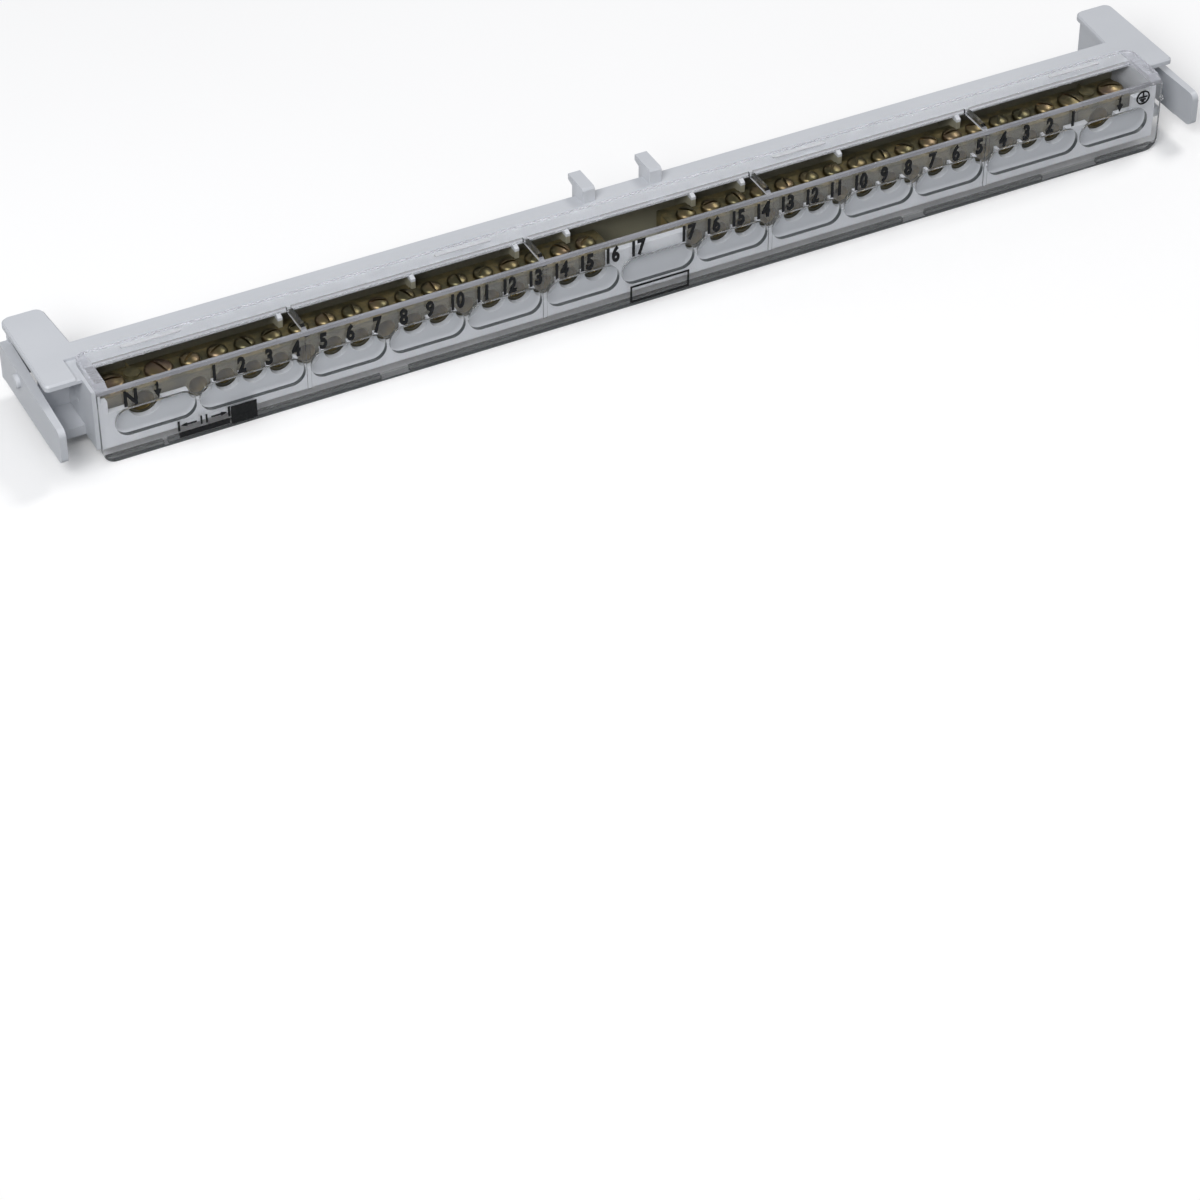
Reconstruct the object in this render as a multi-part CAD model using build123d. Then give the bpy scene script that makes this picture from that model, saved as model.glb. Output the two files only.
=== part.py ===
from build123d import *
import os

os.makedirs("parts", exist_ok=True)

# Terminal bar for a distribution board, in mm. X runs along the bar, the wires enter from -Y, +Z is up.
# X = 0 is the middle of the grey carrier, Y = 0 its back edge, Z = 0 the top of its rear strip.

# Terminals. Each bar has one row of small terminals and one large one near its outer end.
pitch = 6.0
terminals = 16
middle_gap = 7.6
inner_margin = 4.4
large_step = 12.0
outer_margin = 8.3
bars_shift = -1.4
bar_depth = 6.5
bar_height = 7.5
bar_edge = 0.4
small_hole = 2.0
large_hole = 2.5
small_roof = 1.3
large_roof = 0.8
small_head = 2.2
large_head = 3.0
head_height = 1.7
head_edge = 0.4
small_shank = 1.6
large_shank = 1.9
shank_play = 0.1
slot_width = 0.8
slot_depth = 0.8
large_screw_step = 5.2
boss_radius = 1.7
boss_height = 0.6

# Carrier, one moulding: a trough for the bars, a rear strip, two hooks and a bracket at each end.
front_wall = 1.5
back_wall = 1.3
end_wall = 1.6
floor_wall = 1.2
flange_wall = 1.3
bar_play = 0.1
bar_end_play = 1.1
wire_room = 6.3
rear_overhang = 1.5
seat_height = 1.4
head_clearance = 1.5
flange_clearance = 0.65
rib_wall = 1.0
nose_reach = 0.7
rib_steps = (15.0, 27.0, 51.0, 81.0)
small_notch = 2.7
large_notch = 3.7
wall_rise = 0.9
large_notch_rise = 0.75
comb_drop = 3.0
dimple_radius = 0.35
dimple_depth = 0.5
dimple_back = 8.3
dimple_drop = 8.4

# Clear cover, one moulding: a front wall with windows, and a top with a slot for the screwdriver.
cover_wall = 1.4
cover_skin = 1.2
cover_proud = 0.6
cover_depth = 13.6
cover_height = 18.6
cover_gap = 0.1
cover_shift = 0.8
cover_end_play = 0.1
cover_step_gap = 0.3
slot_reach = 5.9
slot_end = 2.6
cover_rib = 1.0
ridge_width = 0.9
ridge_proud = 0.25
ridge_end = 3.8
window_pitch = 18.0
small_windows = 5
last_window_bar = 105.3
window_end = 123.2
window_drop = 6.6
window_height = 6.4
window_round = 3.0
window_bar = 0.8
rib_bar = 1.3
toe_reach = 0.6
toe_height = 1.1
toe_gaps = ((-113.2, 1.0), (-64.7, 6.5), (60.8, 5.8), (96.8, 14.3))
plan_round = 2.5
lower_round = 3.0
cover_edge = 0.5
pad_length = 13.1
pad_width = 1.2
pad_height = 0.3
pad_inset = 2.0
pad_places = (40.25, 110.35)
stub_radius = 0.7
stub_length = 0.7
stub_drop = 5.8

# End brackets: a plate on a walled arm, and a snap arm that springs beside it.
plate_wall = 1.4
plate_width = 7.8
plate_reach = 12.3
plate_edge = 0.4
arm_length = 14.2
arm_width = 10.2
arm_taper = 1.1
back_round = 2.0
front_round = 1.0
skirt_inset = 1.8
side_inset = 0.6
skirt_wall = 1.3
skirt_drop = 13.2
bay_width = 6.0
bay_reach = 11.2
snap_proud = 1.2
snap_root = 2.4
snap_tip = 1.5
snap_reach = 21.8
snap_drop = 4.5
snap_height = 8.2
snap_heel = 0.3
heel_reach = 15.5
snap_round = 1.6
peg_radius = 1.55
peg_length = 0.9
peg_edge = 0.3
peg_back = 1.6
peg_drop = 7.0

# Hooks on the rear strip.
hook_step = 8.0
hook_width = 2.9
hook_foot = 3.5
hook_height = 3.6
hook_post = 1.6
hook_nose = 1.9
nose_height = 1.4
nose_slope = 0.5
hook_drop = 5.0
hook_edge = 0.5

# How far a cutter runs past what it cuts, and how near a point counts as the same place.
cut_room = 1.0
near = 0.05

# Heights, from the strip's top down.
cover_top = cover_proud
cover_low = cover_top - cover_height
flange_top = cover_top - cover_skin
flange_bottom = flange_top - flange_wall
bar_top = flange_top - head_clearance - head_height
bar_bottom = bar_top - bar_height
floor_top = bar_bottom - seat_height
floor_bottom = floor_top - floor_wall
small_z = bar_top - small_roof - small_hole
large_z = bar_top - large_roof - large_hole
notch_z = small_z
large_notch_z = large_z + large_notch_rise
wall_top = notch_z + small_notch + wall_rise
comb_top = wall_top - comb_drop
snap_top = -snap_drop
snap_bottom = snap_top - snap_height

# Depths, from the back edge forward.
back_face = -rear_overhang
trough_back = back_face - back_wall
bar_back = trough_back - wire_room - bar_play
bar_axis = bar_back - bar_depth / 2
bar_front = bar_back - bar_depth
wall_inner = bar_front - bar_play
wall_face = wall_inner - front_wall
flange_front = bar_axis + small_head + flange_clearance
cover_inner = wall_face - cover_gap
cover_face = cover_inner - cover_wall
cover_back = cover_face + cover_depth
rebate_back = cover_back + cover_gap
slot_back = cover_inner + slot_reach

# Lengths, from the middle of the bars outwards.
first_small = middle_gap + inner_margin
last_small = first_small + pitch * (terminals - 1)
large_place = last_small + large_step
bar_outer = large_place + outer_margin
trough_end = abs(bars_shift) + bar_outer + bar_end_play
end_face = trough_end + end_wall
cover_half = end_face + cover_end_play
plate_outer = end_face + plate_width
snap_face = plate_outer + snap_proud
skirt_back = arm_length - skirt_inset
small_places = [first_small + pitch * i for i in range(terminals)]
large_screws = (large_place - large_screw_step, large_place + large_screw_step)
bar_pillars = [(i + 0.5) * window_pitch for i in range(small_windows)]
rib_pillars = bar_pillars[1::3]


def block(x0, x1, y0, y1, z0, z1):
    centre = Pos((x0 + x1) / 2, (y0 + y1) / 2, (z0 + z1) / 2)
    return centre * Box(x1 - x0, y1 - y0, z1 - z0)


def slice_yz(points, x0, x1):
    """A section given as (y, z) points, drawn out along X from x0 to x1."""
    face = make_face(Polyline([(x0, y, z) for y, z in points], close=True))
    return extrude(face, amount=x1 - x0, dir=(1, 0, 0))


def plate_xy(points, z0, z1):
    """An outline given as (x, y) points, drawn up along Z from z0 to z1."""
    face = make_face(Polyline([(x, y, z0) for x, y in points], close=True))
    return extrude(face, amount=z1 - z0, dir=(0, 0, 1))


def rod_y(x, z, radius, y0, y1):
    return Pos(x, (y0 + y1) / 2, z) * Rot(90, 0, 0) * Cylinder(radius, y1 - y0)


def rod_z(x, y, radius, z0, z1):
    return Pos(x, y, (z0 + z1) / 2) * Cylinder(radius, z1 - z0)


def rod_x(y, z, radius, x0, x1):
    return Pos((x0 + x1) / 2, y, z) * Rot(0, 90, 0) * Cylinder(radius, x1 - x0)


def upright_at(solid, x, y):
    """The upright edges of a solid that stand at one (x, y) place."""
    found = solid.edges().filter_by(Axis.Z)
    return [e for e in found if abs(e.center().X - x) < near and abs(e.center().Y - y) < near]


def make_bar(side):
    """One brass bar. side is -1 for the left row and 1 for the right row."""
    ends = sorted((bars_shift + side * middle_gap, bars_shift + side * bar_outer))
    bar = block(ends[0], ends[1], bar_front, bar_back, bar_bottom, bar_top)
    bar = chamfer(bar.edges().filter_by(Axis.X), bar_edge)
    large_x = bars_shift + side * large_place
    boss_y = bar_back - boss_radius
    bar += rod_z(large_x, boss_y, boss_radius, bar_top - boss_height, bar_top + boss_height)
    cut_front, cut_back = bar_front - cut_room, bar_back + cut_room
    for place in small_places:
        x = bars_shift + side * place
        bar -= rod_y(x, small_z, small_hole, cut_front, cut_back)
        bar -= rod_z(x, bar_axis, small_shank + shank_play, small_z, bar_top + cut_room)
    bar -= rod_y(large_x, large_z, large_hole, cut_front, cut_back)
    for place in large_screws:
        x = bars_shift + side * place
        bar -= rod_z(x, bar_axis, large_shank + shank_play, large_z, bar_top + cut_room)
    return bar


def make_screw(x, head, shank, tip):
    """A cheese-head screw on the bar's top, turned back so that its tip is clear of the wire hole."""
    head_top = bar_top + head_height
    screw = rod_z(x, bar_axis, head, bar_top, head_top)
    screw = chamfer(screw.edges().filter_by(GeomType.CIRCLE).group_by(Axis.Z)[-1], head_edge)
    screw += rod_z(x, bar_axis, shank, tip, bar_top)
    slot = Box(2 * (head + cut_room), slot_width, 2 * slot_depth)
    return screw - Pos(x, bar_axis, head_top) * slot


def trough():
    """The carrier's long section: front wall, floor, back wall and the flange over the bars."""
    section = [
        (wall_face, wall_top), (wall_inner, wall_top), (wall_inner, floor_top), (trough_back, floor_top),
        (trough_back, flange_bottom), (flange_front, flange_bottom), (flange_front, flange_top),
        (rebate_back, flange_top), (rebate_back, 0), (0, 0), (0, flange_bottom),
        (back_face, flange_bottom), (back_face, floor_bottom), (wall_face, floor_bottom),
    ]
    end = [
        (wall_face, floor_bottom), (back_face, floor_bottom), (back_face, flange_bottom),
        (0, flange_bottom), (0, 0), (rebate_back, 0), (rebate_back, flange_top), (wall_face, flange_top),
    ]
    body = slice_yz(section, -trough_end, trough_end)
    body += slice_yz(end, -end_face, -trough_end)
    body += slice_yz(end, trough_end, end_face)
    return body


def seat_rib(x):
    """A rib under and behind the bar, with a nose that holds the bar's rear edge down."""
    nose = flange_front - nose_reach
    section = [
        (wall_inner, floor_top), (wall_inner, bar_bottom), (bar_back + bar_play, bar_bottom),
        (bar_back + bar_play, bar_top + bar_play), (nose, bar_top + bar_play),
        (nose, flange_top - nose_reach), (flange_front, flange_top), (flange_front, flange_bottom),
        (trough_back, flange_bottom), (trough_back, floor_top),
    ]
    return slice_yz(section, x - rib_wall / 2, x + rib_wall / 2)


def bracket_plate():
    """The flat plate on top of the right bracket, with rounded corners and a bevelled rim."""
    inner_x = plate_outer - arm_width
    rear_x = inner_x + arm_taper
    outline = [
        (inner_x, back_face), (inner_x, 0), (rear_x, arm_length), (plate_outer, arm_length),
        (plate_outer, -plate_reach), (end_face, -plate_reach), (end_face, back_face),
    ]
    plate = plate_xy(outline, -plate_wall, 0)
    rear = upright_at(plate, rear_x, arm_length) + upright_at(plate, plate_outer, arm_length)
    plate = fillet(rear, back_round)
    plate = fillet(upright_at(plate, plate_outer, -plate_reach), front_round)
    rim = plate.faces().sort_by(Axis.Z)[-1].outer_wire().edges()
    return chamfer([e for e in rim if e.center().X > end_face], plate_edge)


def bracket():
    """The right-hand bracket, mirrored for the left."""
    side_x = plate_outer - arm_width + side_inset
    rear_x = side_x + arm_taper
    skirt_front = skirt_back - skirt_wall
    side = [
        (side_x, back_face), (rear_x, skirt_back), (rear_x + skirt_wall, skirt_back),
        (side_x + skirt_wall, back_face),
    ]
    bay_outer = end_face + bay_width
    body = bracket_plate() + plate_xy(side, -skirt_drop, -plate_wall)
    body += block(rear_x, snap_face, skirt_front, skirt_back, -skirt_drop, snap_top)
    body += block(rear_x, plate_outer - side_inset, skirt_front, skirt_back, snap_top, -plate_wall)
    body += block(end_face, bay_outer, trough_back, back_face, floor_bottom, -plate_wall)
    body += block(end_face, bay_outer, -bay_reach, trough_back, floor_bottom, floor_top)
    return body + snap_arm()


def snap_arm():
    """A springy arm that tapers to its free front end and carries a round peg."""
    tip_x = snap_face - snap_tip
    outline = [
        (snap_face, skirt_back), (snap_face, -snap_reach), (tip_x, -snap_reach),
        (snap_face - snap_root, skirt_back),
    ]
    arm = plate_xy(outline, snap_bottom, snap_top)
    arm = fillet(arm.edges().filter_by(Axis.X).group_by(Axis.Y)[0], snap_round)
    heel = block(tip_x, snap_face, -heel_reach, skirt_back, snap_bottom - snap_heel, snap_bottom)
    peg = rod_x(peg_back, -peg_drop, peg_radius, snap_face - snap_tip / 2, snap_face + peg_length)
    peg = chamfer(peg.edges().filter_by(GeomType.CIRCLE).group_by(Axis.X)[-1], peg_edge)
    return arm + heel + peg


def hook(x):
    """A hook that stands up from the rear strip and turns back over the edge behind it."""
    nose = hook_post + hook_nose
    nose_low = hook_height - nose_height
    section = [
        (-hook_foot, flange_bottom), (-hook_foot, hook_height - hook_edge),
        (-hook_foot + hook_edge, hook_height), (nose, hook_height), (nose, nose_low),
        (hook_post, nose_low - nose_slope), (hook_post, -hook_drop), (back_face, -hook_drop),
        (back_face, flange_bottom),
    ]
    return slice_yz(section, x - hook_width / 2, x + hook_width / 2)


def notch(x, z, radius):
    """A cutter for one wire notch in the front wall: round below and open above."""
    front, back = wall_face - cut_room, wall_inner + bar_play / 2
    above = block(x - radius, x + radius, front, back, z, wall_top + cut_room)
    return above + rod_y(x, z, radius, front, back)


def comb(places):
    """A cutter for a row of notches whose teeth stop below the wall's top."""
    front, back = wall_face - cut_room, wall_inner + bar_play / 2
    low, high = min(places), max(places)
    cutter = block(low, high, front, back, comb_top, wall_top + cut_room)
    cutter += notch(low, notch_z, small_notch) + notch(high, notch_z, small_notch)
    for x in places:
        cutter += rod_y(x, notch_z, small_notch, front, back)
    return cutter


def make_carrier():
    body = trough()
    head_room = large_head + flange_clearance
    for side in (-1, 1):
        body -= comb([bars_shift + side * place for place in small_places])
        body -= notch(bars_shift + side * large_place, large_notch_z, large_notch)
        for place in large_screws:
            x = bars_shift + side * place
            body -= rod_z(x, bar_axis, head_room, flange_bottom - near, flange_top + near)
        for step in rib_steps:
            body += seat_rib(bars_shift + side * step)
        body += hook(side * hook_step)
    right = bracket()
    body += right
    body += mirror(right, about=Plane.YZ)
    rebate = cover_half + cover_shift + cover_step_gap
    body -= block(-rebate, rebate, cover_face, rebate_back, flange_top, cut_room)
    body -= rod_x(-dimple_back, -dimple_drop, dimple_radius, -end_face - near, dimple_depth - end_face)
    body -= rod_x(-dimple_back, -dimple_drop, dimple_radius, end_face - dimple_depth, end_face + near)
    return body


def window_spans():
    """The windows' left and right edges, about the middle of the cover."""
    pillars = [(place, rib_bar if place in rib_pillars else window_bar) for place in bar_pillars]
    pillars.append((last_window_bar, window_bar))
    edges = [place - width / 2 for place, width in pillars] + [window_end]
    right = [(place + width / 2, after) for (place, width), after in zip(pillars, edges[1:])]
    return [(-edges[0], edges[0])] + right + [(-b, -a) for a, b in right]


def cover_shell():
    """The cover's bent section, with its rounded rear, lower and upper corners."""
    section = [
        (cover_face, cover_top), (cover_back, cover_top), (cover_back, flange_top),
        (cover_inner, flange_top), (cover_inner, cover_low + toe_height),
        (cover_inner + toe_reach, cover_low + toe_height), (cover_inner + toe_reach, cover_low),
        (cover_face, cover_low),
    ]
    cover = slice_yz(section, -cover_half, cover_half)
    rear = [e for e in cover.edges().filter_by(Axis.Z) if abs(e.center().Y - cover_back) < near]
    cover = fillet(rear, plan_round)
    lower = [e for e in cover.edges().filter_by(Axis.Y) if abs(e.center().Z - cover_low) < near]
    cover = fillet(lower, lower_round)
    lengthwise = cover.edges().filter_by(Axis.X)
    brow = [e for e in lengthwise if e.center().Z > cover_top - near and e.center().Y < cover_inner]
    return fillet(brow, cover_edge)


def screwdriver_slots():
    """A cutter for the long slot in the cover's top, which four thin ribs cross."""
    low, high = flange_top - cut_room, cover_top + cut_room
    slots = block(slot_end - cover_half, cover_half - slot_end, cover_inner, slot_back, low, high)
    for place in rib_pillars:
        for x in (-place, place):
            slots -= block(x - cover_rib / 2, x + cover_rib / 2, cover_inner, slot_back, low, high)
    return slots


def window(left, right):
    """A cutter for one window in the cover's front wall."""
    outline = RectangleRounded(right - left, window_height, window_round)
    pane = Plane((0, 0, 0), x_dir=(1, 0, 0), z_dir=(0, -1, 0)) * outline
    cutter = extrude(pane, amount=cover_wall, both=True)
    middle_z = cover_top - window_drop - window_height / 2
    return Pos((left + right) / 2, cover_face + cover_wall / 2, middle_z) * cutter


def make_cover():
    cover = cover_shell() - screwdriver_slots()
    ridge_top = cover_top - cover_edge
    for place in rib_pillars:
        for x in (-place, place):
            left, right = x - ridge_width / 2, x + ridge_width / 2
            ridge_face = cover_face - ridge_proud
            cover += block(left, right, ridge_face, cover_face, cover_low + ridge_end, ridge_top)
    for left, right in window_spans():
        cover -= window(left, right)
    toe_top = cover_low + toe_height
    for start, width in toe_gaps:
        back = cover_inner + toe_reach + near
        cover -= block(start, start + width, cover_inner, back, cover_low - near, toe_top + near)
    for place in pad_places:
        for x in (-place, place):
            pad = extrude(SlotOverall(pad_length, pad_width), amount=pad_height)
            cover += Pos(x, cover_back - pad_inset, cover_top) * pad
    stub = min(stub_radius, cover_wall / 2)
    middle_y = cover_face + cover_wall / 2
    cover += rod_x(middle_y, cover_top - stub_drop, stub, cover_half - stub, cover_half + stub_length)
    return Pos(cover_shift, 0, 0) * cover


nodes = {"carrier": make_carrier(), "clear_cover": make_cover()}
for side, name in ((-1, "neutral"), (1, "earth")):
    nodes[f"{name}_bar"] = make_bar(side)
    for number, place in enumerate(reversed(small_places), 1):
        screw = make_screw(bars_shift + side * place, small_head, small_shank, small_z + small_hole)
        nodes[f"{name}_screw_{number:02d}"] = screw
    for place, where in zip(large_screws, ("inner", "outer")):
        screw = make_screw(bars_shift + side * place, large_head, large_shank, large_z + large_hole)
        nodes[f"{name}_large_screw_{where}"] = screw

for name, solid in nodes.items():
    print(name, len(solid.solids()), round(solid.volume, 1), solid.is_valid)
    export_step(solid, f"parts/{name}.step")
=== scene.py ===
# %% [markdown]
# The looks of a terminal bar. The real object is two brass bars of screw terminals in a long grey
# moulding, under a clear cover with windows for the wires and a slot for the screwdriver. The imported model
# brings every solid at its real size, so this script mostly finishes surfaces: it rounds moulded edges,
# gives the screws their domed heads, slots and threads, adds the raised print and gives each piece its
# material. Everything is in metres.

# %% Load the frame
import math

import bmesh
import bpy
import numpy as np
from mathutils import Matrix, Vector


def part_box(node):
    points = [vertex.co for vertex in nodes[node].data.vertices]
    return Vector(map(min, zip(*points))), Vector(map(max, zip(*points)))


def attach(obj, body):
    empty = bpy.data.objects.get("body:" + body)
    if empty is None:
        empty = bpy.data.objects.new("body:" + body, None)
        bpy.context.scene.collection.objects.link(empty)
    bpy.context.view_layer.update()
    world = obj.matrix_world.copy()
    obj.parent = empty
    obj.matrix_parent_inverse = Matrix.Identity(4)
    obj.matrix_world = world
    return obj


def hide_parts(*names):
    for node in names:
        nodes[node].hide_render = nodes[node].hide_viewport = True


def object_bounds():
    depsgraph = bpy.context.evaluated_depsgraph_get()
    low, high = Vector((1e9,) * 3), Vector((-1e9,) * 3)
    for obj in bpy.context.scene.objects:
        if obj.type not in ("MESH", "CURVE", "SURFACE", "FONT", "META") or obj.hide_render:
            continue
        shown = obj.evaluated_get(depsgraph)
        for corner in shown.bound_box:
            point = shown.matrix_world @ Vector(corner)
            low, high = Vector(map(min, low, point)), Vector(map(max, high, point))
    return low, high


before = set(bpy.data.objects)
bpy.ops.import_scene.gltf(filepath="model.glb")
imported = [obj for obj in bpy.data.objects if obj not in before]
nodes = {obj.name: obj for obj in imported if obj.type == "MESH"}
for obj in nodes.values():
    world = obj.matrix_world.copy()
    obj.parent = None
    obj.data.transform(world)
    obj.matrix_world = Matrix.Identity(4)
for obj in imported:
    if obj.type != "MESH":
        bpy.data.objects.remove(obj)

MM = 0.001
cad_box = [list(corner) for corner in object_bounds()]
print("nodes in the frame:", len(nodes))

# %% [markdown]
# Every new mesh goes through one helper. It takes whole numpy arrays of points and faces, so that no loop
# runs over single points. A second helper closes a grid of points into quads: a grid is how the turned
# surfaces are described here, as a function of two parameters. Each row of it runs once round, so its last
# column joins the first.

# %% Mesh helpers
SEAM = 1e-7


def new_object(name, data):
    """A new object in the scene that holds a mesh, a text, a lamp or a camera."""
    thing = bpy.data.objects.new(name, data)
    bpy.context.scene.collection.objects.link(thing)
    return thing


def mesh_object(name, points, faces):
    """A new object from an (n, 3) array of points in metres and a list or array of faces."""
    mesh = bpy.data.meshes.new(name)
    mesh.from_pydata(np.asarray(points).tolist(), [], [list(map(int, face)) for face in faces])
    mesh.validate()
    return new_object(name, mesh)


def grid_faces(rows, columns):
    """Quads of a rows by columns grid of points whose last column joins the first."""
    i = np.arange(rows - 1)[:, None]
    j = np.arange(columns)[None, :]
    after = (j + 1) % columns
    here, there = i * columns, (i + 1) * columns
    return np.stack([here + j, here + after, there + after, there + j], axis=-1).reshape(-1, 4)


def merge(thing, distance=SEAM):
    """Closes seams and poles, and turns all the faces outwards."""
    work = bmesh.new()
    work.from_mesh(thing.data)
    bmesh.ops.remove_doubles(work, verts=work.verts, dist=distance)
    bmesh.ops.dissolve_degenerate(work, edges=work.edges, dist=distance)
    bmesh.ops.recalc_face_normals(work, faces=work.faces)
    work.to_mesh(thing.data)
    work.free()


def mesh_points(mesh):
    """The points of a mesh as an (n, 3) array."""
    flat = np.empty(len(mesh.vertices) * 3)
    mesh.vertices.foreach_get("co", flat)
    return flat.reshape(-1, 3)


def worked_out(thing):
    """A new mesh of an object with its modifiers, or its lettering, worked out."""
    bpy.context.view_layer.update()
    return bpy.data.meshes.new_from_object(thing.evaluated_get(bpy.context.evaluated_depsgraph_get()))


def finish_piece(thing, material):
    """Gives a new piece its material and its body."""
    thing.data.materials.clear()
    thing.data.materials.append(material)
    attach(thing, "root")


print("a grid of 3 rows of 8 points has", len(grid_faces(3, 8)), "quads")

# %% [markdown]
# Materials come as small functions that wire up nodes. The patterns read Object coordinates: every piece
# sits at the origin with its place in its mesh, so one metre of pattern is one metre of object. A fixed
# number, such as the index of refraction, is set on the shader's own socket. Where a finish holds in one
# part of a piece only, a mask finds that part: each comparison of a coordinate gives 1 or 0, and the
# comparisons are multiplied together.

# %% Node helpers


class Wiring:
    """A new material's node tree, with short calls to add nodes and join them."""

    def __init__(self, name):
        self.material = bpy.data.materials.new(name)
        self.material.use_nodes = True
        self.tree = self.material.node_tree
        self.tree.nodes.clear()
        self.output = self.add("ShaderNodeOutputMaterial")
        self.shader = self.add("ShaderNodeBsdfPrincipled")
        self.join(self.shader, "BSDF", self.output, "Surface")
        self.place = self.add("ShaderNodeTexCoord")

    def add(self, kind, **values):
        node = self.tree.nodes.new(kind)
        for key, value in values.items():
            setattr(node, key, value)
        return node

    def join(self, source, out, target, into):
        self.tree.links.new(source.outputs[out], target.inputs[into])

    def fixed(self, **values):
        """Sets the shader's own sockets. A name's underscores stand for spaces."""
        for key, value in values.items():
            self.shader.inputs[key.replace("_", " ")].default_value = value

    def noise(self, scale, detail=3.0, roughness=0.5, stretch=(1.0, 1.0, 1.0)):
        """Noise on Object coordinates. scale is how many blobs there are in a metre."""
        mapping = self.add("ShaderNodeMapping")
        mapping.inputs["Scale"].default_value = stretch
        self.join(self.place, "Object", mapping, "Vector")
        node = self.add("ShaderNodeTexNoise")
        node.inputs["Scale"].default_value = scale
        node.inputs["Detail"].default_value = detail
        node.inputs["Roughness"].default_value = roughness
        self.join(mapping, "Vector", node, "Vector")
        return node

    def ramp(self, source, out, stops):
        """A colour ramp. stops is a list of (place, colour)."""
        node = self.add("ShaderNodeValToRGB")
        elements = node.color_ramp.elements
        while len(elements) < len(stops):
            elements.new(0.5)
        for element, (place, colour) in zip(elements, stops):
            element.position = place
            element.color = (*colour, 1.0)
        self.join(source, out, node, "Fac")
        return node

    def spread(self, source, out, low, high):
        """Maps a value from 0..1 to low..high."""
        node = self.add("ShaderNodeMapRange")
        node.inputs["To Min"].default_value = low
        node.inputs["To Max"].default_value = high
        self.join(source, out, node, "Value")
        return node

    def bump(self, source, out, strength, distance):
        node = self.add("ShaderNodeBump")
        node.inputs["Strength"].default_value = strength
        node.inputs["Distance"].default_value = distance
        self.join(source, out, node, "Height")
        self.join(node, "Normal", self.shader, "Normal")
        return node

    def split(self, out):
        """X, Y and Z of the Object coordinates or of the surface's Normal, as three values."""
        node = self.add("ShaderNodeSeparateXYZ")
        self.join(self.place, out, node, "Vector")
        return node

    def with_number(self, source, out, operation, number):
        """A value worked with a fixed number. LESS_THAN and GREATER_THAN give 1 where they hold, else 0."""
        node = self.add("ShaderNodeMath", operation=operation)
        node.inputs[1].default_value = number
        self.join(source, out, node, 0)
        return node

    def combine(self, operation, one, other, other_out="Value"):
        """One value from two."""
        node = self.add("ShaderNodeMath", operation=operation)
        self.join(one, "Value", node, 0)
        self.join(other, other_out, node, 1)
        return node

    def between(self, parts, axis, low, high):
        """1 where a coordinate lies between two limits, and 0 elsewhere."""
        over = self.with_number(parts, axis, "GREATER_THAN", low)
        under = self.with_number(parts, axis, "LESS_THAN", high)
        return self.combine("MULTIPLY", over, under)

    def tinted(self, base, base_out, colour, amount):
        """A colour that turns into a fixed one where amount is 1."""
        node = self.add("ShaderNodeMix", data_type="RGBA")
        node.inputs["B"].default_value = (*colour, 1.0)
        self.join(amount, "Value", node, "Factor")
        self.join(base, base_out, node, "A")
        return node

    def coat(self, colour, roughness):
        """A plain second surface, to be laid over the first in places."""
        node = self.add("ShaderNodeBsdfPrincipled")
        node.inputs["Base Color"].default_value = (*colour, 1.0)
        node.inputs["Roughness"].default_value = roughness
        return node

    def mixed(self, amount, amount_out, under, over):
        """Two surfaces as one. The one over the other shows where amount is 1."""
        node = self.add("ShaderNodeMixShader")
        self.join(amount, amount_out, node, 0)
        self.join(under, 0, node, 1)
        self.join(over, 0, node, 2)
        return node


# %% [markdown]
# The carrier is satin polyamide in a cool light grey. Such plastic is never one flat tone: its flow marks
# are a few percent lighter and darker, and the tool's spark-eroded skin gives a fine grain. Two noises do
# that, one in centimetres for tone and one in tenths of a millimetre for grain. The inside of the trough
# gets painted shade: a box of Object coordinates turns it a dark greenish grey, for the deep trough's
# shadow.

# %% Grey moulded plastic
TROUGH_HALF = 124.8 * MM
TROUGH_FRONT, TROUGH_BACK = -15.85 * MM, -2.75 * MM
TROUGH_LOW, TROUGH_TOP = -13.0 * MM, -1.95 * MM
TROUGH_SHADE_GREY = (0.25, 0.24, 0.18)


def grey_plastic():
    wiring = Wiring("grey_moulded_plastic")
    flow = wiring.noise(45.0, detail=4.0, stretch=(0.4, 1.0, 1.0))
    tone = wiring.ramp(flow, "Fac", [(0.3, (0.530, 0.550, 0.585)), (0.7, (0.580, 0.598, 0.632))])
    parts = wiring.split("Object")
    # painted shade: inside the trough the plastic's colour is turned a dark greenish grey
    across = wiring.between(parts, "X", -TROUGH_HALF, TROUGH_HALF)
    deep = wiring.between(parts, "Y", TROUGH_FRONT, TROUGH_BACK)
    low = wiring.between(parts, "Z", TROUGH_LOW, TROUGH_TOP)
    inside = wiring.combine("MULTIPLY", wiring.combine("MULTIPLY", across, deep), low)
    trough_shade = wiring.tinted(tone, "Color", TROUGH_SHADE_GREY, inside)
    wiring.join(trough_shade, "Result", wiring.shader, "Base Color")
    satin = wiring.spread(flow, "Fac", 0.36, 0.50)
    wiring.join(satin, "Result", wiring.shader, "Roughness")
    grain = wiring.noise(3200.0, detail=2.0)
    wiring.bump(grain, "Fac", strength=0.10, distance=0.02 * MM)
    wiring.fixed(IOR=1.53, Subsurface_Weight=0.06, Subsurface_Scale=0.6 * MM)
    wiring.fixed(Subsurface_Radius=(1.0, 0.95, 0.9))
    return wiring.material


GREY = grey_plastic()
print("made", GREY.name)

# %% [markdown]
# The cover's finish changes from place to place, and its print has to lie on its face, so its main levels
# are worked out first. They come from the box of its solid: the box ends in front at the narrow ridges on
# the wall, and on top at the four raised pads.

# %% The cover's levels
RIDGE_PROUD = 0.25 * MM
PAD_HEIGHT = 0.3 * MM
COVER_HALF = 126.5 * MM

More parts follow.
